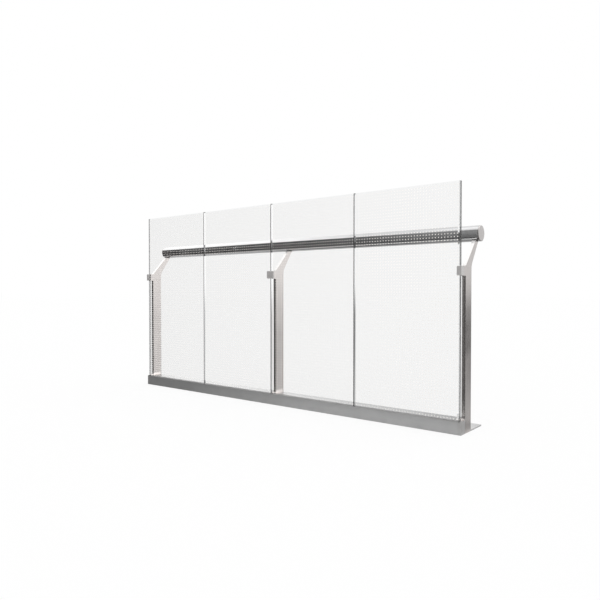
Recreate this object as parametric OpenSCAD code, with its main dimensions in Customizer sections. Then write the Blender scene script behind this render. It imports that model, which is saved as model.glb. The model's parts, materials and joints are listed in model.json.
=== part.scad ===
// Clear glass railing with a floor-fixed base channel, flat cantilever posts
// and a round handrail carried behind the glass.
// Frame: X along the railing, Y from the glass side to the handrail side,
// Z up from the floor. Inside the modules Y is counted from the front plane
// of the base; place() then moves the origin to the middle of the foot.

/* [Railing] */
// Overall length of the base
rail_length = 2600; // [1600:50:4000]
// Height of the glass above the floor
glass_top = 1306; // [1000:1:1500]

/* [Base] */
// Height of the base channel
base_height = 70; // [50:1:120]
// Depth of the base channel, without its fixing flange
base_depth = 116; // [90:1:160]
// Depth of the whole foot, channel and flange together
foot_depth = 275; // [180:1:400]
// Thickness of the fixing flange
flange_t = 8; // [5:0.5:15]
// Wall thickness of the hollow box
base_wall = 5; // [3:0.5:8]
// Thickness of the front lip of the glazing channel
lip_t = 3; // [2:0.5:8]
// How far the front lip ends below the top of the base
lip_drop = 3; // [0:0.5:8]
// Radius of the anchor holes in the flange
anchor_r = 6.5; // [4:0.5:9]
// Distance of the anchor holes from the front plane
anchor_y = 205; // [150:1:260]
// Half distances between the anchor holes of each pair
anchor_x = [230, 690, 1150]; // [100:10:1250]
// Floor of the glazing channel
channel_floor = 10; // [6:1:20]

/* [Glass] */
// Thickness of a laminated pane
glass_t = 21.5; // [12:0.5:26]
// Distance of the glass from the front plane of the base
glass_front = 4; // [3:0.5:12]
// Gap between two panes
pane_gap = 6; // [3:0.5:14]
// Distance from the end of the base to the end of the glazing
edge_inset = 11.6; // [5:0.1:30]
// Thickness of the trim on the two free glass edges
trim_t = 4; // [1:0.1:6]
// Height of the setting blocks under the panes
block_h = 5; // [3:1:10]
// Length of a setting block
block_l = 100; // [50:5:150]
// Thickness of the rear glazing gasket
gasket_t = 6; // [3:0.5:9]
// How far the top of the rear gasket slopes down to the glass
gasket_slope = 6; // [0:0.5:8]

/* [Posts] */
// Thickness of a post plate
post_t = 20; // [12:1:30]
// Front edge of the post plate
post_front = 52; // [45:1:80]
// Rear edge of the post plate
post_rear = 127; // [110:1:150]
// Radius of the fillet around the foot of a post
foot_r = 20; // [6:1:20]
// Underside of the clamp head
head_bottom = 820; // [600:1:1000]
// Top of the clamp head
head_top = 870; // [640:1:1050]
// Height at which the rear edge starts to lean back
bend_z = 876; // [640:1:1050]
// Rise per unit of run along the front edge of the arm
arm_front_slope = 1.07; // [0.6:0.01:2]
// Rise per unit of run along the rear edge of the arm
arm_rear_slope = 1.464; // [0.6:0.01:3]

/* [Clamps] */
// Width of the middle clamp plate
clamp_w = 54; // [40:1:90]
// Width of the clamp plates at the ends
clamp_end_w = 25; // [22:1:60]
// Height of a clamp plate
clamp_h = 48; // [30:1:80]
// Thickness of a clamp plate
clamp_t = 8; // [4:0.5:12]
// Corner radius of the clamp plates
clamp_r = 4; // [1:0.5:10]
// Thickness of the pad in front of the glass
front_pad_t = 1; // [0.5:0.5:3]
// Thickness of the pad behind the glass
rear_pad_t = 2; // [1:0.5:4]

/* [Handrail] */
// Outer radius of the handrail tube
tube_r = 43; // [20:0.5:50]
// Wall thickness of the tube
tube_wall = 3; // [1.5:0.5:5]
// Height of the tube's axis
tube_z = 1050; // [900:1:1150]
// Distance of the tube's axis from the front plane
tube_y = 212; // [150:1:300]
// How far the handrail runs past the base at each end
overhang = 20; // [0:1:100]
// Thickness of the end caps
cap_t = 6; // [3:0.5:12]
// Edge radius of the end caps
cap_edge_r = 3; // [1:0.5:5]
// Thickness of the curved saddles
saddle_t = 3; // [2:0.5:10]

/* [Hidden] */
$fn = 96;
half_l = rail_length / 2;
glass_back = glass_front + glass_t;
channel_back = glass_back + gasket_t;
glazing_end = half_l - edge_inset;
pane_end = glazing_end - trim_t;
pane_w = (2 * pane_end - 3 * pane_gap) / 4;
pane_bottom = channel_floor + block_h;
tongue_front = glass_back + rear_pad_t;
clamp_back = glass_front - front_pad_t;
head_mid = (head_bottom + head_top) / 2;
post_x = [-half_l + post_t / 2, 0, half_l - post_t / 2];
heel_r = 6;             // fillet between the channel and its flange
neck_r = 6;             // fillet under the clamp head
brow_r = 6;             // fillet between the clamp head and the arm
bend_r = 80;            // sweep of the rear edge into the arm
web_sink = 0.2;         // overlap of a fillet at a slanted edge
arm_start = post_front - 1; // where the arm's front edge leaves the head
front_run = 139;        // run of the arm's front edge, past the saddle seat
rear_run = 95;          // run of the arm's rear edge, past the saddle seat
gasket_depth = 30;      // how far the gaskets reach into the channel
gasket_lip = 1;         // how far the front gasket stands above the lip
end_gap = 0.6;          // room past the free edge of the glazing
spigot_l = 25;          // length of the cap's spigot
saddle_mid = -108;      // direction from the tube's axis to the arm
saddle_half = 23;       // half of the angle that a saddle covers
seat_r = tube_r + saddle_t;
pad_inset = 2;          // how far a pad stays inside its plate
pad_side = 1;           // how far a rear pad stays inside its head, sideways
seal_recess = 1;        // how far a joint seal stays behind the glass faces
block_room = 1;         // room in front of and behind a setting block
fit_gap = 0.3;          // clearance between nested round faces

// ---------- helpers ----------

// Moves the front-plane frame to the middle of the foot.
module place() { translate([0, -foot_depth / 2, 0]) children(); }

// A box given by its two corners.
module span(a, b) { translate(a) cube(b - a); }

// Extrudes a profile drawn in the Y-Z plane from x0 to x1.
module along_x(x0, x1) {
    translate([x0, 0, 0]) rotate([90, 0, 90]) linear_extrude(x1 - x0) children();
}

// Fills the hollow corner at p, between edges that leave it in the directions
// a and b (degrees), with a round of radius r. At slanted edges the fill
// starts inside the solid, by sink, so that the two overlap.
module web(p, a, b, r, sink = 0) {
    half = (b - a) / 2;
    m = [cos(a + half), sin(a + half)];
    centre = p + m * r / sin(half);
    root = p - m * sink / sin(half);
    reach = (r + sink) / tan(half);
    difference() {
        polygon([root, root + reach * [cos(a), sin(a)], centre,
            root + reach * [cos(b), sin(b)]]);
        translate(centre) circle(r + sink / 2);
    }
}

// ---------- base ----------

module base_section() {
    difference() {
        union() {
            square([base_depth, base_height]);
            square([foot_depth, flange_t]);
            web([base_depth, flange_t], 0, 90, heel_r);
        }
        // glazing channel, open at the top
        translate([lip_t, channel_floor])
            square([channel_back - lip_t, base_height]);
        translate([-1, base_height - lip_drop])
            square([lip_t + 2, lip_drop + 1]);
        // hollow box behind the channel
        translate([channel_back + base_wall, base_wall])
            square([base_depth - channel_back - 2 * base_wall, base_height - 2 * base_wall]);
    }
}

module base_profile() color([0.55, 0.55, 0.55]) place() difference() {
    along_x(-half_l, half_l) base_section();
    // the end plates take the place of the box at both ends
    for (s = [0, 1]) mirror([s, 0, 0])
        span([half_l - post_t, -1, -1], [half_l + 1, base_depth, base_height + 1]);
    for (x = anchor_x, s = [-1, 1]) translate([s * x, anchor_y, -1])
        cylinder(r = anchor_r, h = flange_t + 2);
}

// Closes the base in front of the end post and holds the end of the glazing.
module end_block() difference() {
    span([half_l - post_t, 0, 0], [half_l, post_front, base_height]);
    span([half_l - post_t - 1, lip_t, channel_floor],
        [glazing_end + end_gap, channel_back, base_height + 1]);
    span([half_l - post_t - 1, -1, base_height - lip_drop],
        [half_l + 1, lip_t, base_height + 1]);
}

module end_block_left() color([0.5, 0.5, 0.5]) place() mirror([1, 0, 0]) end_block();
module end_block_right() color([0.6, 0.6, 0.6]) place() end_block();

module front_gasket() color([0.3, 0.3, 0.3]) place()
    span([-half_l + post_t, lip_t, base_height - gasket_depth],
        [half_l - post_t, glass_front, base_height - lip_drop + gasket_lip]);

module rear_gasket() color([0.6, 0.6, 0.6]) place()
    along_x(-half_l + post_t, half_l - post_t)
        polygon([
            [glass_back, base_height - gasket_depth],
            [channel_back, base_height - gasket_depth],
            [channel_back, base_height],
            [glass_back, base_height - gasket_slope]]);

function pane_left(i) = -pane_end + i * (pane_w + pane_gap);

module setting_block(i) color([0.2, 0.2, 0.2]) place()
    translate([pane_left(i) + pane_w / 2 - block_l / 2, lip_t + block_room, channel_floor])
        cube([block_l, channel_back - lip_t - 2 * block_room, block_h]);

module setting_block_1() setting_block(0);
module setting_block_2() setting_block(1);
module setting_block_3() setting_block(2);
module setting_block_4() setting_block(3);

// ---------- posts ----------

// Side outline of a post above the base: column, clamp head and swept arm,
// cut out at the top to seat the saddle of the handrail.
module post_outline(foot_z) {
    difference() {
        union() {
            polygon([
                [post_front, foot_z],
                [post_front, head_bottom],
                [tongue_front, head_bottom],
                [tongue_front, head_top],
                [arm_start, head_top],
                [arm_start + front_run, head_top + front_run * arm_front_slope],
                [post_rear + rear_run, bend_z + rear_run * arm_rear_slope],
                [post_rear, bend_z],
                [post_rear, flange_t],
                [base_depth, flange_t],
                [base_depth, foot_z]]);
            web([post_front, head_bottom], 180, 270, neck_r);
            web([arm_start, head_top], atan(arm_front_slope), 180, brow_r, web_sink);
            web([post_rear, bend_z], -90, atan(arm_rear_slope), bend_r, web_sink);
        }
        translate([tube_y, tube_z]) circle(seat_r);
    }
}

// Concave fillet of the foot, along the front and one side of the plate.
module foot_cove(x, side) {
    // front
    along_x(x - post_t / 2, x + post_t / 2)
        web([post_front, base_height], 90, 180, foot_r);
    // side
    translate([x + side * post_t / 2, 0, base_height]) mirror([side < 0 ? 1 : 0, 0, 0]) {
        translate([0, base_depth, 0]) rotate([90, 0, 0])
            linear_extrude(base_depth - post_front) web([0, 0], 0, 90, foot_r);
        // corner between the two
        translate([0, post_front, 0]) rotate([0, 0, 270])
            rotate_extrude(angle = 90) web([0, 0], 0, 90, foot_r);
    }
}

module post(x, foot_z) {
    along_x(x - post_t / 2, x + post_t / 2) post_outline(foot_z);
}

module post_left() color([0.75, 0.74, 0.73]) place() {
    post(post_x[0], 0);
    foot_cove(post_x[0], 1);
}

module post_middle() color([0.75, 0.74, 0.73]) place() {
    post(post_x[1], base_height);
    foot_cove(post_x[1], -1);
    foot_cove(post_x[1], 1);
}

module post_right() color([0.75, 0.74, 0.73]) place() {
    post(post_x[2], 0);
    foot_cove(post_x[2], -1);
}

// ---------- clamps ----------

// Outline of a clamp plate, with round corners.
module soft_rect(w, h, r) {
    translate([r, 0]) square([w - 2 * r, h]);
    translate([0, r]) square([w, h - 2 * r]);
    for (x = [r, w - r], y = [r, h - r]) translate([x, y]) circle(r);
}

// Stands an outline drawn in the X-Z plane behind the front of a clamp.
module clamp_front(x0) translate([x0, clamp_back, head_mid - clamp_h / 2])
    rotate([90, 0, 0]) linear_extrude(clamp_t) children();

// End clamp: a plate in front of the glass, and a cheek that passes the free
// edge of the glass and meets the head of the post.
module end_clamp() {
    clamp_front(half_l - clamp_end_w) {
        soft_rect(clamp_end_w, clamp_h, clamp_r);
        translate([clamp_r, 0]) square([clamp_end_w - clamp_r, clamp_h]);
    }
    span([glazing_end + end_gap, clamp_back - clamp_t, head_mid - clamp_h / 2],
        [half_l, tongue_front, head_mid + clamp_h / 2]);
}

module clamp_plate_left() color([0.6, 0.6, 0.6]) place() mirror([1, 0, 0]) end_clamp();
module clamp_plate_middle() color([0.6, 0.6, 0.6]) place()
    clamp_front(-clamp_w / 2) soft_rect(clamp_w, clamp_h, clamp_r);
module clamp_plate_right() color([0.6, 0.6, 0.6]) place() end_clamp();

module front_pad(x0, x1) color([0.15, 0.15, 0.15]) place()
    span([x0, clamp_back, head_mid - clamp_h / 2 + pad_inset],
        [x1, glass_front, head_mid + clamp_h / 2 - pad_inset]);

module front_pad_left() front_pad(-glazing_end, -half_l + clamp_end_w - pad_inset);
module front_pad_middle() front_pad(-clamp_w / 2 + pad_inset, clamp_w / 2 - pad_inset);
module front_pad_right() front_pad(half_l - clamp_end_w + pad_inset, glazing_end);

module rear_pad(i) color([0.15, 0.15, 0.15]) place()
    span([max(post_x[i] - post_t / 2 + pad_side, -glazing_end), glass_back, head_bottom + pad_inset],
        [min(post_x[i] + post_t / 2 - pad_side, glazing_end), tongue_front, head_top - pad_inset]);

module rear_pad_left() rear_pad(0);
module rear_pad_middle() rear_pad(1);
module rear_pad_right() rear_pad(2);

// ---------- glass ----------

module glass_pane(i) color([0.85, 0.93, 0.93, 0.35]) place()
    span([pane_left(i), glass_front, pane_bottom],
        [pane_left(i) + pane_w, glass_back, glass_top]);

module glass_pane_1() glass_pane(0);
module glass_pane_2() glass_pane(1);
module glass_pane_3() glass_pane(2);
module glass_pane_4() glass_pane(3);

// Soft seal in the joint after pane i, set back a little from both faces.
module joint_seal(i) color([0.55, 0.55, 0.55]) place()
    span([pane_left(i) - pane_gap, glass_front + seal_recess, pane_bottom],
        [pane_left(i), glass_back - seal_recess, glass_top]);

module joint_seal_1() joint_seal(1);
module joint_seal_2() joint_seal(2);
module joint_seal_3() joint_seal(3);

module edge_trim() span([pane_end, glass_front, pane_bottom], [glazing_end, glass_back, glass_top]);

module edge_trim_left() color([0.5, 0.5, 0.5]) place() mirror([1, 0, 0]) edge_trim();
module edge_trim_right() color([0.5, 0.5, 0.5]) place() edge_trim();

// ---------- handrail ----------

// Puts a round piece, drawn along Z, on the axis of the handrail.
module on_rail_axis(x) translate([x, tube_y, tube_z]) rotate([0, 90, 0]) children();

tube_end = half_l + overhang - cap_t;

module handrail_tube() color([0.4, 0.4, 0.41]) place() difference() {
    on_rail_axis(-tube_end) cylinder(r = tube_r, h = 2 * tube_end);
    on_rail_axis(-tube_end - 1) cylinder(r = tube_r - tube_wall, h = 2 * tube_end + 2);
}

// Flat cap with a rounded edge and a spigot that plugs the tube.
module rail_cap() on_rail_axis(tube_end) rotate_extrude() {
    difference() {
        square([tube_r, cap_t]);
        translate([tube_r - cap_edge_r, cap_t - cap_edge_r])
            square([cap_edge_r + 1, cap_edge_r + 1]);
    }
    translate([0, cap_t - cap_edge_r]) intersection() {
        translate([tube_r - cap_edge_r, 0]) circle(cap_edge_r);
        square([tube_r, cap_edge_r]);
    }
    translate([0, -spigot_l]) square([tube_r - tube_wall - fit_gap, spigot_l + 1]);
}

module rail_cap_left() color([0.76, 0.74, 0.73]) place() mirror([1, 0, 0]) rail_cap();
module rail_cap_right() color([0.76, 0.74, 0.73]) place() rail_cap();

// Curved seat between the arm of a post and the tube.
module saddle(i) color([0.2, 0.2, 0.2]) place()
    along_x(post_x[i] - post_t / 2, post_x[i] + post_t / 2)
        translate([tube_y, tube_z]) rotate(saddle_mid) difference() {
            intersection() {
                circle(seat_r);
                polygon([[0, 0], [2 * seat_r, -2 * seat_r * tan(saddle_half)],
                    [2 * seat_r, 2 * seat_r * tan(saddle_half)]]);
            }
            circle(tube_r);
        }

module saddle_left() saddle(0);
module saddle_middle() saddle(1);
module saddle_right() saddle(2);

// ---------- output ----------

base_profile();
end_block_left();
end_block_right();
front_gasket();
rear_gasket();
setting_block_1();
setting_block_2();
setting_block_3();
setting_block_4();
post_left();
post_middle();
post_right();
clamp_plate_left();
clamp_plate_middle();
clamp_plate_right();
front_pad_left();
front_pad_middle();
front_pad_right();
rear_pad_left();
rear_pad_middle();
rear_pad_right();
glass_pane_1();
glass_pane_2();
glass_pane_3();
glass_pane_4();
joint_seal_1();
joint_seal_2();
joint_seal_3();
edge_trim_left();
edge_trim_right();
handrail_tube();
rail_cap_left();
rail_cap_right();
saddle_left();
saddle_middle();
saddle_right();
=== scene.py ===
import json
from math import radians

import bmesh
import bpy
from mathutils import Matrix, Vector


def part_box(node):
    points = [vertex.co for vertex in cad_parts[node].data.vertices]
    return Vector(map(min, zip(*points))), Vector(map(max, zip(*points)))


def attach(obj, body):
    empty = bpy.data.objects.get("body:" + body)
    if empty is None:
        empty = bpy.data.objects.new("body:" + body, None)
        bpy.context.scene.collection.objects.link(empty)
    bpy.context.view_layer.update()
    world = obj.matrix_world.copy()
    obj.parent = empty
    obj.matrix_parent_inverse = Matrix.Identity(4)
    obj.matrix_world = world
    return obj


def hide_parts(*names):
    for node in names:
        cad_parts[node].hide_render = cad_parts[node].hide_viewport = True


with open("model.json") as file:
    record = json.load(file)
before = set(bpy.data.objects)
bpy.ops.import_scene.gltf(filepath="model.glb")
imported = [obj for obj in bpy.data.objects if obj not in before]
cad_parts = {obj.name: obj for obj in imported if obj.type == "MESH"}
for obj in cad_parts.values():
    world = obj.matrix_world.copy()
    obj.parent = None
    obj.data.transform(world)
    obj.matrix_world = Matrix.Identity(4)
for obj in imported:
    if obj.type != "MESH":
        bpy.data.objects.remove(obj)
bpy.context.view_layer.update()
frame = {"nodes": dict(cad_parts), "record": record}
nodes = frame["nodes"]


# ---------------------------------------------------------------- camera
# At the eye height of someone who crouches, on the glass side and beyond
# the right end of the railing, with a slightly wide lens.
camera_data = bpy.data.cameras.new("camera")
camera_data.lens = 34.42
camera_data.sensor_width = 36.0
camera = bpy.data.objects.new("camera", camera_data)
camera.location = (2.4805, -2.9350, 0.7465)
camera.rotation_euler = (radians(90 - 1.004), 0, radians(38.616))
bpy.context.scene.collection.objects.link(camera)
bpy.context.scene.camera = camera
bpy.context.scene.view_settings.view_transform = "Standard"


# ---------------------------------------------------------------- studio
# A pale floor, a bright ceiling and a bright wall behind the railing, and a
# darker room on the glass side, which the polished metal picks up.
def add(tree, kind, **values):
    """Adds a node. Names that are its inputs set them, the rest are settings."""
    node = tree.nodes.new(kind)
    for name, value in values.items():
        if name in node.inputs:
            node.inputs[name].default_value = value
        else:
            setattr(node, name, value)
    return node


def join(tree, *pairs):
    """Links each pair of an output and an input."""
    for output, entry in pairs:
        tree.links.new(output, entry)


def calculate(tree, kind, a, b):
    """A math node of two sockets or numbers."""
    node = add(tree, "ShaderNodeMath", operation=kind)
    for entry, value in zip(node.inputs, (a, b)):
        if isinstance(value, float):
            entry.default_value = value
        else:
            tree.links.new(value, entry)
    return node.outputs[0]


def ramp(tree, source, low, high, out_low=0.0, out_high=1.0, kind="SMOOTHSTEP"):
    """A step of source from low to high, smooth or linear."""
    step = add(tree, "ShaderNodeMapRange", interpolation_type=kind)
    for name, value in (("From Min", low), ("From Max", high),
            ("To Min", out_low), ("To Max", out_high)):
        step.inputs[name].default_value = value
    tree.links.new(source, step.inputs["Value"])
    return step.outputs[0]


def blend(tree, factor, a, b):
    """Mixes two colours, each a colour, a level of grey or a socket."""
    mix = add(tree, "ShaderNodeMix", data_type="RGBA")
    tree.links.new(factor, mix.inputs["Factor"])
    for name, value in (("A", a), ("B", b)):
        if isinstance(value, float):
            mix.inputs[name].default_value = (value, value, value, 1)
        elif isinstance(value, tuple):
            mix.inputs[name].default_value = (*value, 1)
        else:
            tree.links.new(value, mix.inputs[name])
    return mix.outputs["Result"]


def object_axes(tree):
    """X, Y and Z of a point of the surface, in metres."""
    place = add(tree, "ShaderNodeTexCoord")
    split = add(tree, "ShaderNodeSeparateXYZ")
    tree.links.new(place.outputs["Object"], split.inputs[0])
    return split.outputs


def clear_view(tree):
    """1 where the camera looks straight on, or through clear glass alone."""
    rays = add(tree, "ShaderNodeLightPath")
    bounced = calculate(tree, "ADD", rays.outputs["Glossy Depth"], rays.outputs["Diffuse Depth"])
    straight = calculate(tree, "LESS_THAN", bounced, 0.5)
    through = calculate(tree, "MULTIPLY", rays.outputs["Is Transmission Ray"], straight)
    return calculate(tree, "MAXIMUM", rays.outputs["Is Camera Ray"], through)


def link_piece(name, mesh):
    """An object of this name in the scene, at the origin."""
    piece = bpy.data.objects.new(name, mesh)
    bpy.context.scene.collection.objects.link(piece)
    return piece


world = bpy.data.worlds.new("studio")
bpy.context.scene.world = world
world.use_nodes = True
tree = world.node_tree
tree.nodes.clear()
look = add(tree, "ShaderNodeTexCoord")
split = add(tree, "ShaderNodeSeparateXYZ")
tree.links.new(look.outputs["Generated"], split.inputs[0])
sideways, backward, height = split.outputs
aside = calculate(tree, "ABSOLUTE", sideways, 0.0)

# The walls behind and beside the railing, above and below eye height.
left_wall = blend(tree, ramp(tree, sideways, -0.46, -0.76),
    blend(tree, ramp(tree, sideways, -0.38, -0.47), 0.32, 0.90), 1.65)
right_wall = blend(tree, ramp(tree, sideways, 0.35, 0.70), 0.72, 1.20)
upper_wall = blend(tree, ramp(tree, sideways, -0.10, 0.10), left_wall, right_wall)
low_wall = blend(tree, ramp(tree, height, -0.08, -0.20), 0.17, 0.45)
side_wall = blend(tree, ramp(tree, height, -0.26, -0.36), 0.98, 0.58)
lower_wall = blend(tree, ramp(tree, aside, 0.40, 0.90), low_wall, side_wall)
wall = blend(tree, ramp(tree, height, -0.05, 0.02), lower_wall, upper_wall)

# The darker room on the glass side.
toward_room = calculate(tree, "SUBTRACT", calculate(tree, "MULTIPLY", aside, 0.74),
    calculate(tree, "MULTIPLY", backward, 0.67))
room = calculate(tree, "MULTIPLY", blend(tree, ramp(tree, aside, 0.42, 0.64), 0.165, 0.05),
    ramp(tree, height, -0.14, -0.04, 1.0, 1.28))
walls = blend(tree, ramp(tree, toward_room, 0.45, 0.80), wall, room)

# The floor at either side of the railing, as the underside of the rail sees it.
near_side = blend(tree, ramp(tree, aside, 0.60, 0.78), 0.02, 0.14)
far_side = blend(tree, ramp(tree, aside, 0.40, 0.52), 0.26, 0.10)
far_side = blend(tree, ramp(tree, aside, 0.58, 0.82), far_side, 0.23)
ground = blend(tree, ramp(tree, backward, -0.25, 0.10), near_side, far_side)
low = blend(tree, ramp(tree, height, -0.66, -0.80), walls, ground)

# The ceiling, brighter in a row right above the railing and far to its sides.
overhead = add(tree, "ShaderNodeVectorMath", operation="DOT_PRODUCT")
overhead.inputs[1].default_value = (0.0, 0.35, 1.0)
tree.links.new(look.outputs["Generated"], overhead.inputs[0])
over = calculate(tree, "ADD", overhead.outputs["Value"], ramp(tree, aside, 0.64, 0.82, 0.0, 0.22))
lamps = blend(tree, ramp(tree, backward, 0.10, 0.50), 0.94, 0.86)
off_row = calculate(tree, "MAXIMUM", calculate(tree, "ABSOLUTE", backward, 0.0),
    calculate(tree, "SUBTRACT", aside, 0.28))
lamps = blend(tree, ramp(tree, off_row, 0.11, 0.17), 1.18, lamps)
lamps = blend(tree, ramp(tree, aside, 0.48, 0.72), lamps, 1.42)
ceiling = blend(tree, ramp(tree, over, 0.52, 0.65), low, lamps)

# What is mirrored twice is plainer. Matt surfaces get one even level, and
# the background is white.
rays = add(tree, "ShaderNodeLightPath")
twice = calculate(tree, "GREATER_THAN", rays.outputs["Glossy Depth"], 1.5)
upward = blend(tree, ramp(tree, aside, 0.42, 0.52), 0.95, 0.30)
upward = blend(tree, ramp(tree, aside, 0.64, 0.78), upward, 0.58)
again = blend(tree, twice, ceiling, blend(tree, ramp(tree, height, -0.45, -0.25), 0.10, upward))
soft = blend(tree, rays.outputs["Is Diffuse Ray"], again, 0.72)
sky = add(tree, "ShaderNodeBackground", Strength=1.0)
out = add(tree, "ShaderNodeOutputWorld")
join(tree, (blend(tree, clear_view(tree), soft, 1.0), sky.inputs["Color"]),
    (sky.outputs[0], out.inputs["Surface"]))

# The floor is white with the railing's shadow. The metal sees it only close
# by, as a pool of light that grows towards the right end of the railing.
railing_line = 0.12
floor_paint = bpy.data.materials.new("studio_floor")
floor_paint.use_nodes = True
tree = floor_paint.node_tree
tree.nodes.clear()
along, across, _ = object_axes(tree)
rays = add(tree, "ShaderNodeLightPath")
off_line = calculate(tree, "ABSOLUTE", calculate(tree, "ADD", across, railing_line), 0.0)
mirrored = calculate(tree, "GREATER_THAN", rays.outputs["Glossy Depth"], 0.5)
beyond = calculate(tree, "MAXIMUM", ramp(tree, off_line, 0.26, 0.36),
    ramp(tree, rays.outputs["Ray Length"], 0.45, 0.75))
dropped = calculate(tree, "MULTIPLY", mirrored, beyond)
pool = blend(tree, ramp(tree, along, -1.5, 0.8), 0.25, 0.92)
pool = blend(tree, ramp(tree, along, 1.29, 1.35), pool, 0.45)
plain = add(tree, "ShaderNodeBsdfDiffuse")
gone = add(tree, "ShaderNodeBsdfTransparent")
mirror = add(tree, "ShaderNodeMixShader")
glow = add(tree, "ShaderNodeEmission", Strength=0.885)
shadow = add(tree, "ShaderNodeBsdfDiffuse", Color=(0.13, 0.13, 0.13, 1))
lit = add(tree, "ShaderNodeAddShader")
mix = add(tree, "ShaderNodeMixShader")
out = add(tree, "ShaderNodeOutputMaterial")
join(tree,
    (blend(tree, rays.outputs["Is Diffuse Ray"], pool, 0.60), plain.inputs["Color"]),
    (dropped, mirror.inputs["Fac"]),
    (plain.outputs[0], mirror.inputs[1]),
    (gone.outputs[0], mirror.inputs[2]),
    (clear_view(tree), mix.inputs["Fac"]),
    (glow.outputs[0], lit.inputs[0]),
    (shadow.outputs[0], lit.inputs[1]),
    (mirror.outputs[0], mix.inputs[1]),
    (lit.outputs[0], mix.inputs[2]),
    (mix.outputs[0], out.inputs["Surface"]))

bm = bmesh.new()
bmesh.ops.create_grid(bm, x_segments=1, y_segments=1, size=60)
mesh = bpy.data.meshes.new("floor")
bm.to_mesh(mesh)
bm.free()
mesh.materials.append(floor_paint)
floor = link_piece("floor", mesh)

# A weak and very soft sun, from high behind the railing on the right.
lamp = bpy.data.lights.new("skylight", "SUN")
lamp.energy = 0.5
lamp.angle = radians(50)
skylight = link_piece("skylight", lamp)
skylight.rotation_euler = (radians(-25), radians(20), 0)


# ---------------------------------------------------------------- base channel
# Extruded aluminium channel that holds the glass, with a fixing flange at
# the back. Mill finish, drawn along its length, closed by end blocks. The
# flat top of the flange has a painted sheen, a painted highlight.
def metal_grain():
    """Drawn or brushed metal: long fine scratches, and broad soft blooms."""
    group = bpy.data.node_groups.new("metal_grain", "ShaderNodeTree")
    for name, kind, way in (
        ("Tone", "NodeSocketColor", "INPUT"),
        ("Gloss", "NodeSocketFloat", "INPUT"),
        ("Stretch", "NodeSocketVector", "INPUT"),
        ("Color", "NodeSocketColor", "OUTPUT"),
        ("Roughness", "NodeSocketFloat", "OUTPUT"),
        ("Height", "NodeSocketFloat", "OUTPUT"),
    ):
        group.interface.new_socket(name, in_out=way, socket_type=kind)
    given = add(group, "NodeGroupInput")
    result = add(group, "NodeGroupOutput")
    place = add(group, "ShaderNodeTexCoord")
    along = add(group, "ShaderNodeVectorMath", operation="MULTIPLY")
    scratch = add(group, "ShaderNodeTexNoise", Scale=1.0, Detail=4.0, Roughness=0.65)
    bloom = add(group, "ShaderNodeTexNoise", Scale=9.0, Detail=3.0, Roughness=0.55)
    spread = calculate(group, "ADD", scratch.outputs[0], bloom.outputs[0])
    tint = ramp(group, spread, 0.7, 1.3, 0.93, 1.07, "LINEAR")
    rough = ramp(group, spread, 0.7, 1.3, -0.05, 0.05, "LINEAR")
    tinted = add(group, "ShaderNodeVectorMath", operation="SCALE")
    join(group,
        (place.outputs["Object"], along.inputs[0]),
        (given.outputs["Stretch"], along.inputs[1]),
        (along.outputs[0], scratch.inputs["Vector"]),
        (place.outputs["Object"], bloom.inputs["Vector"]),
        (given.outputs["Tone"], tinted.inputs[0]),
        (tint, tinted.inputs["Scale"]),
        (tinted.outputs[0], result.inputs["Color"]),
        (calculate(group, "ADD", rough, given.outputs["Gloss"]), result.inputs["Roughness"]),
        (scratch.outputs[0], result.inputs["Height"]))
    return group


grain = metal_grain()


def metal(name, tone, gloss, stretch, bump=0.15, metallic=1.0):
    """A metal with its grain along the axis whose stretch is the smallest."""
    material = bpy.data.materials.new(name)
    material.use_nodes = True
    tree = material.node_tree
    shader = tree.nodes["Principled BSDF"]
    shader.inputs["Metallic"].default_value = metallic
    surface = add(tree, "ShaderNodeGroup")
    surface.node_tree = grain
    surface.inputs["Tone"].default_value = (*tone, 1)
    surface.inputs["Gloss"].default_value = gloss
    surface.inputs["Stretch"].default_value = stretch
    relief = add(tree, "ShaderNodeBump", Strength=bump, Distance=0.00005)
    join(tree,
        (surface.outputs["Color"], shader.inputs["Base Color"]),
        (surface.outputs["Roughness"], shader.inputs["Roughness"]),
        (surface.outputs["Height"], relief.inputs["Height"]),
        (relief.outputs[0], shader.inputs["Normal"]))
    return material


def finish_with(material, *names):
    """Gives every surface of these nodes one material."""
    for name in names:
        for material_slot in nodes[name].material_slots:
            material_slot.material = material


channel_tone, flange_painted_sheen = (0.657, 0.657, 0.657), (0.90, 0.90, 0.90)
channel_metal = metal("drawn_aluminium", channel_tone, 0.34, (4, 900, 900), metallic=0.8)
tree = channel_metal.node_tree
_, across, up = object_axes(tree)
# Painted highlight: the flat top of the flange is painted a brighter tone, as a painted sheen.
on_flange = calculate(tree, "MULTIPLY", ramp(tree, up, 0.0070, 0.0078),
    ramp(tree, up, 0.010, 0.016, 1.0, 0.0))
on_flange = calculate(tree, "MULTIPLY", on_flange, ramp(tree, across, -0.040, -0.030))
tree.links.new(blend(tree, on_flange, channel_tone, flange_painted_sheen), tree.nodes["Group"].inputs["Tone"])
finish_with(channel_metal, "base_profile")
finish_with(metal("sawn_aluminium", (0.65, 0.645, 0.64), 0.45, (900, 60, 900), metallic=0.8),
    "end_block_left", "end_block_right")


# ---------------------------------------------------------------- anchor bolts
# Hexagon bolts with washers hold the flange down to the floor, one in each
# of its holes. Turned and rolled from zinc-plated steel.
def bar(bm, segments, radius, low, high, edge):
    """A closed upright bar, with its upper edge broken by a small bevel."""
    circle = bmesh.ops.create_circle(bm, cap_ends=True, segments=segments, radius=radius,
        matrix=Matrix.Translation((0, 0, low)))
    top = bmesh.ops.extrude_face_region(bm, geom=circle["verts"][0].link_faces[:])
    rim = [v for v in top["geom"] if isinstance(v, bmesh.types.BMVert)]
    bmesh.ops.translate(bm, vec=(0, 0, high - low), verts=rim)
    edges = [e for e in top["geom"] if isinstance(e, bmesh.types.BMEdge)]
    bmesh.ops.bevel(bm, geom=edges, offset=edge, segments=2, profile=0.5,
        affect="EDGES", material=-1)


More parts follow.
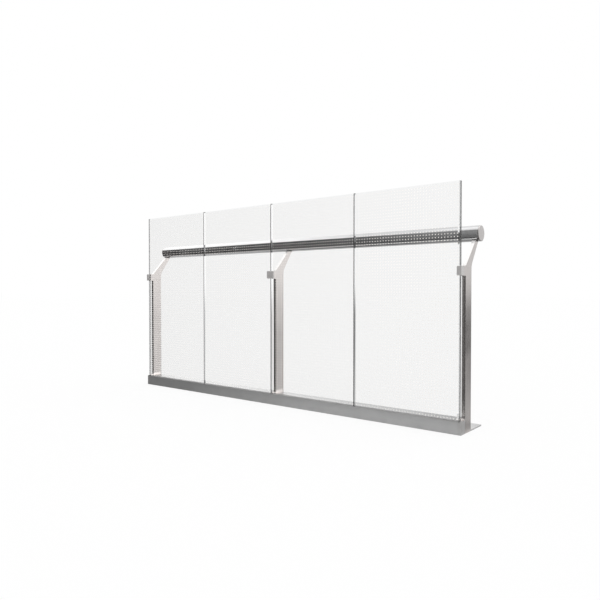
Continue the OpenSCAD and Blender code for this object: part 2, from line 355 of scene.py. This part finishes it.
def close_up(bm, name, material):
    """Turns the faces of closed solids outwards and makes them a piece."""
    bmesh.ops.recalc_face_normals(bm, faces=bm.faces[:])
    mesh = bpy.data.meshes.new(name)
    bm.to_mesh(mesh)
    bm.free()
    mesh.materials.append(material)
    return link_piece(name, mesh)


washer_width, head_width, shank_width = 1.85, 1.69, 0.92  # times the hole
washer_rise, head_rise, shank_rise = 0.0025, 0.0100, 0.0120  # above the flange
washer_edge, head_edge, shank_edge = 0.0004, 0.0009, 0.0010
shank_foot = 0.001
turn_per_bolt = 0.7
bolt_metal = metal("zinc_plate", (0.62, 0.62, 0.63), 0.32, (300, 300, 300), metallic=0.9)
patterns = [m for m in frame["record"]["mounts"] if m["kind"] == "bolt_pattern"]
holes = [(side * m["dims"]["spacing_x_mm"] / 2000, m) for m in patterns for side in (-1, 1)]
for number, (x, pattern) in enumerate(sorted(holes, key=lambda hole: hole[0]), 1):
    hole_radius = pattern["dims"]["hole_r_mm"] / 1000
    flange_top = 2 * pattern["pos_m"][2]
    washer_top = flange_top + washer_rise
    bm = bmesh.new()
    bar(bm, 32, washer_width * hole_radius, flange_top, washer_top, washer_edge)
    bar(bm, 6, head_width * hole_radius, washer_top, flange_top + head_rise, head_edge)
    bar(bm, 16, shank_width * hole_radius, shank_foot, flange_top + shank_rise, shank_edge)
    bmesh.ops.rotate(bm, cent=(0, 0, 0), verts=bm.verts,
        matrix=Matrix.Rotation(turn_per_bolt * number, 3, "Z"))
    bmesh.ops.translate(bm, vec=(x, pattern["pos_m"][1], 0), verts=bm.verts)
    bolt = close_up(bm, f"anchor_bolt_{number}", bolt_metal)
    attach(bolt, "root")


# ---------------------------------------------------------------- gaskets and blocks
# Rubber wedges press the glass in its channel, grey in front and pale
# behind, and it stands on hard black plastic blocks. Slightly dusty.
def rubber(name, tone, roughness):
    """Rubber or plastic with fine speckled relief and a little dust on it."""
    material = bpy.data.materials.new(name)
    material.use_nodes = True
    tree = material.node_tree
    shader = tree.nodes["Principled BSDF"]
    place = add(tree, "ShaderNodeTexCoord")
    speck = add(tree, "ShaderNodeTexNoise", Scale=700.0, Detail=3.0, Roughness=0.6)
    dust = add(tree, "ShaderNodeTexNoise", Scale=30.0, Detail=4.0, Roughness=0.6)
    dusty = tuple(level * 0.8 + 0.06 for level in tone)
    rough = ramp(tree, dust.outputs[0], 0.0, 1.0, roughness - 0.08, roughness + 0.08, "LINEAR")
    relief = add(tree, "ShaderNodeBump", Strength=0.3, Distance=0.0001)
    join(tree,
        (place.outputs["Object"], speck.inputs["Vector"]),
        (place.outputs["Object"], dust.inputs["Vector"]),
        (blend(tree, dust.outputs[0], tone, dusty), shader.inputs["Base Color"]),
        (rough, shader.inputs["Roughness"]),
        (speck.outputs[0], relief.inputs["Height"]),
        (relief.outputs[0], shader.inputs["Normal"]))
    return material


finish_with(rubber("gasket_rubber", (0.50, 0.495, 0.49), 0.7), "front_gasket")
finish_with(rubber("pale_gasket_rubber", (0.85, 0.845, 0.84), 0.6), "rear_gasket")
finish_with(rubber("setting_block_plastic", (0.03, 0.03, 0.03), 0.5),
    "setting_block_1", "setting_block_2", "setting_block_3", "setting_block_4")


# ---------------------------------------------------------------- posts
# Plate posts cut from 20 mm stainless steel, brushed along their height and
# welded to the base with a wide cove. The narrow faces of the arm have a painted highlight.
post_tone, arm_painted_highlight = (0.725, 0.685, 0.668), (0.93, 0.915, 0.905)
arm_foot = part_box("clamp_plate_middle")[1].z
post_metal = metal("brushed_post_steel", post_tone, 0.20, (800, 800, 5))
tree = post_metal.node_tree
up = object_axes(tree)["Z"]
facing = add(tree, "ShaderNodeSeparateXYZ")
tree.links.new(add(tree, "ShaderNodeNewGeometry").outputs["Normal"], facing.inputs[0])
edge_on = ramp(tree, calculate(tree, "ABSOLUTE", facing.outputs["X"], 0.0), 0.4, 0.6, 1.0, 0.0)
# Painted highlight: the faces of the arm that don't face sideways are painted a brighter tone.
on_arm = calculate(tree, "MULTIPLY", ramp(tree, up, arm_foot, arm_foot + 0.01), edge_on)
tree.links.new(blend(tree, on_arm, post_tone, arm_painted_highlight), tree.nodes["Group"].inputs["Tone"])
finish_with(post_metal, "post_left", "post_middle", "post_right")


# ---------------------------------------------------------------- clamps
# Blasted and lacquered steel plates with soft pads hold the panes against
# the heads of the posts.
clamp_metal = metal("clamp_steel", (0.76, 0.74, 0.73), 0.42, (300, 300, 300), metallic=0.35)
finish_with(clamp_metal, "clamp_plate_left", "clamp_plate_middle", "clamp_plate_right")
finish_with(rubber("pad_rubber", (0.05, 0.05, 0.05), 0.65),
    "front_pad_left", "front_pad_middle", "front_pad_right",
    "rear_pad_left", "rear_pad_middle", "rear_pad_right")


# ---------------------------------------------------------------- glass
# Clear laminated safety glass, with a very faint grey tint. Shadows pass
# through it, as light does, and so does the view in its free ends and top.
glass_tint = (0.960, 0.962, 0.961, 1)
end_margin, top_margin, margin_step = 0.0080, 0.0040, 0.0002
end_of_glass, top_of_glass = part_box("glass_pane_4")[1].x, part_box("glass_pane_4")[1].z
pane_glass = bpy.data.materials.new("laminated_glass")
pane_glass.use_nodes = True
tree = pane_glass.node_tree
shader = tree.nodes["Principled BSDF"]
shader.inputs["Base Color"].default_value = glass_tint
shader.inputs["Metallic"].default_value = 0.0
shader.inputs["Transmission Weight"].default_value = 1.0
shader.inputs["IOR"].default_value = 1.45
place = add(tree, "ShaderNodeTexCoord")
smear = add(tree, "ShaderNodeTexNoise", Scale=4.0, Detail=4.0, Roughness=0.6)
gloss = ramp(tree, smear.outputs[0], 0.0, 1.0, 0.0, 0.03, "LINEAR")
along, _, up = object_axes(tree)
at_end = ramp(tree, calculate(tree, "ABSOLUTE", along, 0.0),
    end_of_glass - end_margin - margin_step, end_of_glass - end_margin)
at_top = ramp(tree, up, top_of_glass - top_margin - margin_step, top_of_glass - top_margin)
rays = add(tree, "ShaderNodeLightPath")
passed = calculate(tree, "MAXIMUM", rays.outputs["Is Shadow Ray"],
    calculate(tree, "MAXIMUM", at_end, at_top))
clear = add(tree, "ShaderNodeBsdfTransparent", Color=glass_tint)
mix = add(tree, "ShaderNodeMixShader")
join(tree,
    (place.outputs["Object"], smear.inputs["Vector"]),
    (gloss, shader.inputs["Roughness"]),
    (passed, mix.inputs["Fac"]),
    (shader.outputs[0], mix.inputs[1]),
    (clear.outputs[0], mix.inputs[2]),
    (mix.outputs[0], tree.nodes["Material Output"].inputs["Surface"]))
finish_with(pane_glass, "glass_pane_1", "glass_pane_2", "glass_pane_3", "glass_pane_4")


# ---------------------------------------------------------------- seals and edge trims
# Silicone fills the joints between the panes, tooled a little hollow. A
# smoky clear plastic strip covers each free edge, with a dark soft core.
def strip(name, node, outline, material):
    """An upright strip in place of a node: an outline in X and Y, full height."""
    low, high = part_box(node)
    bm = bmesh.new()
    bm.faces.new([bm.verts.new((x, y, low.z)) for x, y in outline])
    top = bmesh.ops.extrude_face_region(bm, geom=bm.faces[:])
    bmesh.ops.translate(bm, vec=(0, 0, high.z - low.z),
        verts=[v for v in top["geom"] if isinstance(v, bmesh.types.BMVert)])
    piece = close_up(bm, name, material)
    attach(piece, "root")
    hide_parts(node)


glass_room, hollow = 0.0002, 0.0008
joint_silicone = rubber("joint_silicone", (0.02, 0.02, 0.02), 0.45)
for node in ("joint_seal_1", "joint_seal_2", "joint_seal_3"):
    low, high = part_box(node)
    left, right = low.x + glass_room, high.x - glass_room
    middle = (left + right) / 2
    strip(node + "_silicone", node, [(left, low.y), (middle, low.y + hollow), (right, low.y),
        (right, high.y), (middle, high.y - hollow), (left, high.y)], joint_silicone)

edge, core_half, core_depth = 0.0008, 0.0045, 0.0010
core_crown = core_depth / 3
trim_plastic = rubber("edge_trim_plastic", (0.10, 0.098, 0.096), 0.40)
trim_plastic.node_tree.nodes["Principled BSDF"].inputs["Alpha"].default_value = 0.23
core_rubber = rubber("edge_core_rubber", (0.03, 0.03, 0.03), 0.50)
core_rubber.node_tree.nodes["Principled BSDF"].inputs["Alpha"].default_value = 0.62
for node, side in (("edge_trim_left", -1), ("edge_trim_right", 1)):
    low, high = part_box(node)
    inner, outer = (low.x, high.x) if side > 0 else (high.x, low.x)
    inner += side * glass_room
    middle = (low.y + high.y) / 2
    strip(node + "_body", node, [(inner, low.y), (outer - side * edge, low.y), (outer, low.y + edge),
        (outer, high.y - edge), (outer - side * edge, high.y), (inner, high.y)], trim_plastic)
    strip(node + "_core", node, [(outer - side * core_depth, middle - core_half),
        (outer, middle - core_half), (outer + side * core_crown, middle),
        (outer, middle + core_half), (outer - side * core_depth, middle + core_half)],
        core_rubber)


# ---------------------------------------------------------------- light points
# Small pale light points, laminated between the two sheets of each pane on
# a close, nearly square grid. They are thin eight-sided chips.
point_radius, point_thickness = 0.0027, 0.0006
column_pitch, columns = 0.0175, 36
row_pitch, rows = 0.01682, 73
lowest_row = 0.0796

point_white = bpy.data.materials.new("light_point_white")
point_white.use_nodes = True
tree = point_white.node_tree
shader = tree.nodes["Principled BSDF"]
shader.inputs["Roughness"].default_value = 0.5
shader.inputs["Emission Strength"].default_value = 2.05
place = add(tree, "ShaderNodeTexCoord")
speck = add(tree, "ShaderNodeTexNoise", Scale=45.0, Detail=2.0)
color = blend(tree, speck.outputs[0], (0.375, 0.356, 0.342), (0.435, 0.414, 0.400))
rays = add(tree, "ShaderNodeLightPath")
mirrored = calculate(tree, "GREATER_THAN", rays.outputs["Glossy Depth"], 0.5)
unseen = add(tree, "ShaderNodeBsdfTransparent")
mix = add(tree, "ShaderNodeMixShader")
join(tree,
    (place.outputs["Object"], speck.inputs["Vector"]),
    (color, shader.inputs["Base Color"]),
    (color, shader.inputs["Emission Color"]),
    (mirrored, mix.inputs["Fac"]),
    (shader.outputs[0], mix.inputs[1]),
    (unseen.outputs[0], mix.inputs[2]),
    (mix.outputs[0], tree.nodes["Material Output"].inputs["Surface"]))

for number in (1, 2, 3, 4):
    low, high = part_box(f"glass_pane_{number}")
    first = (low.x + high.x - (columns - 1) * column_pitch) / 2
    middle = (low.y + high.y) / 2
    bm = bmesh.new()
    bmesh.ops.create_circle(bm, cap_ends=True, segments=8, radius=point_radius,
        matrix=Matrix.Translation((first, middle - point_thickness / 2, lowest_row))
        @ Matrix.Rotation(radians(90), 4, "X") @ Matrix.Rotation(radians(22.5), 4, "Z"))
    chip = bmesh.ops.extrude_face_region(bm, geom=bm.faces[:])
    bmesh.ops.translate(bm, vec=(0, point_thickness, 0),
        verts=[v for v in chip["geom"] if isinstance(v, bmesh.types.BMVert)])
    for step, count in (((column_pitch, 0, 0), columns), ((0, 0, row_pitch), rows)):
        bmesh.ops.spin(bm, geom=bm.verts[:] + bm.edges[:] + bm.faces[:], cent=(0, 0, 0),
            axis=(0, 0, 1), dvec=step, angle=0, space=Matrix(), steps=count - 1,
            use_merge=False, use_normal_flip=False, use_duplicate=True)
    points = close_up(bm, f"light_points_{number}", point_white)
    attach(points, "root")


# ---------------------------------------------------------------- handrail
# Stainless tube, polished to a satin shine, with flat caps pressed into its
# ends. It rests on a curved plastic saddle on each arm.
rail_metal = metal("handrail_steel", (0.80, 0.80, 0.805), 0.10, (5, 700, 700), bump=0.02)
finish_with(rail_metal, "handrail_tube")
cap_metal = metal("cap_steel", (0.65, 0.625, 0.615), 0.30, (800, 60, 800))
finish_with(cap_metal, "rail_cap_left", "rail_cap_right")
finish_with(rubber("saddle_plastic", (0.32, 0.315, 0.31), 0.45),
    "saddle_left", "saddle_middle", "saddle_right")
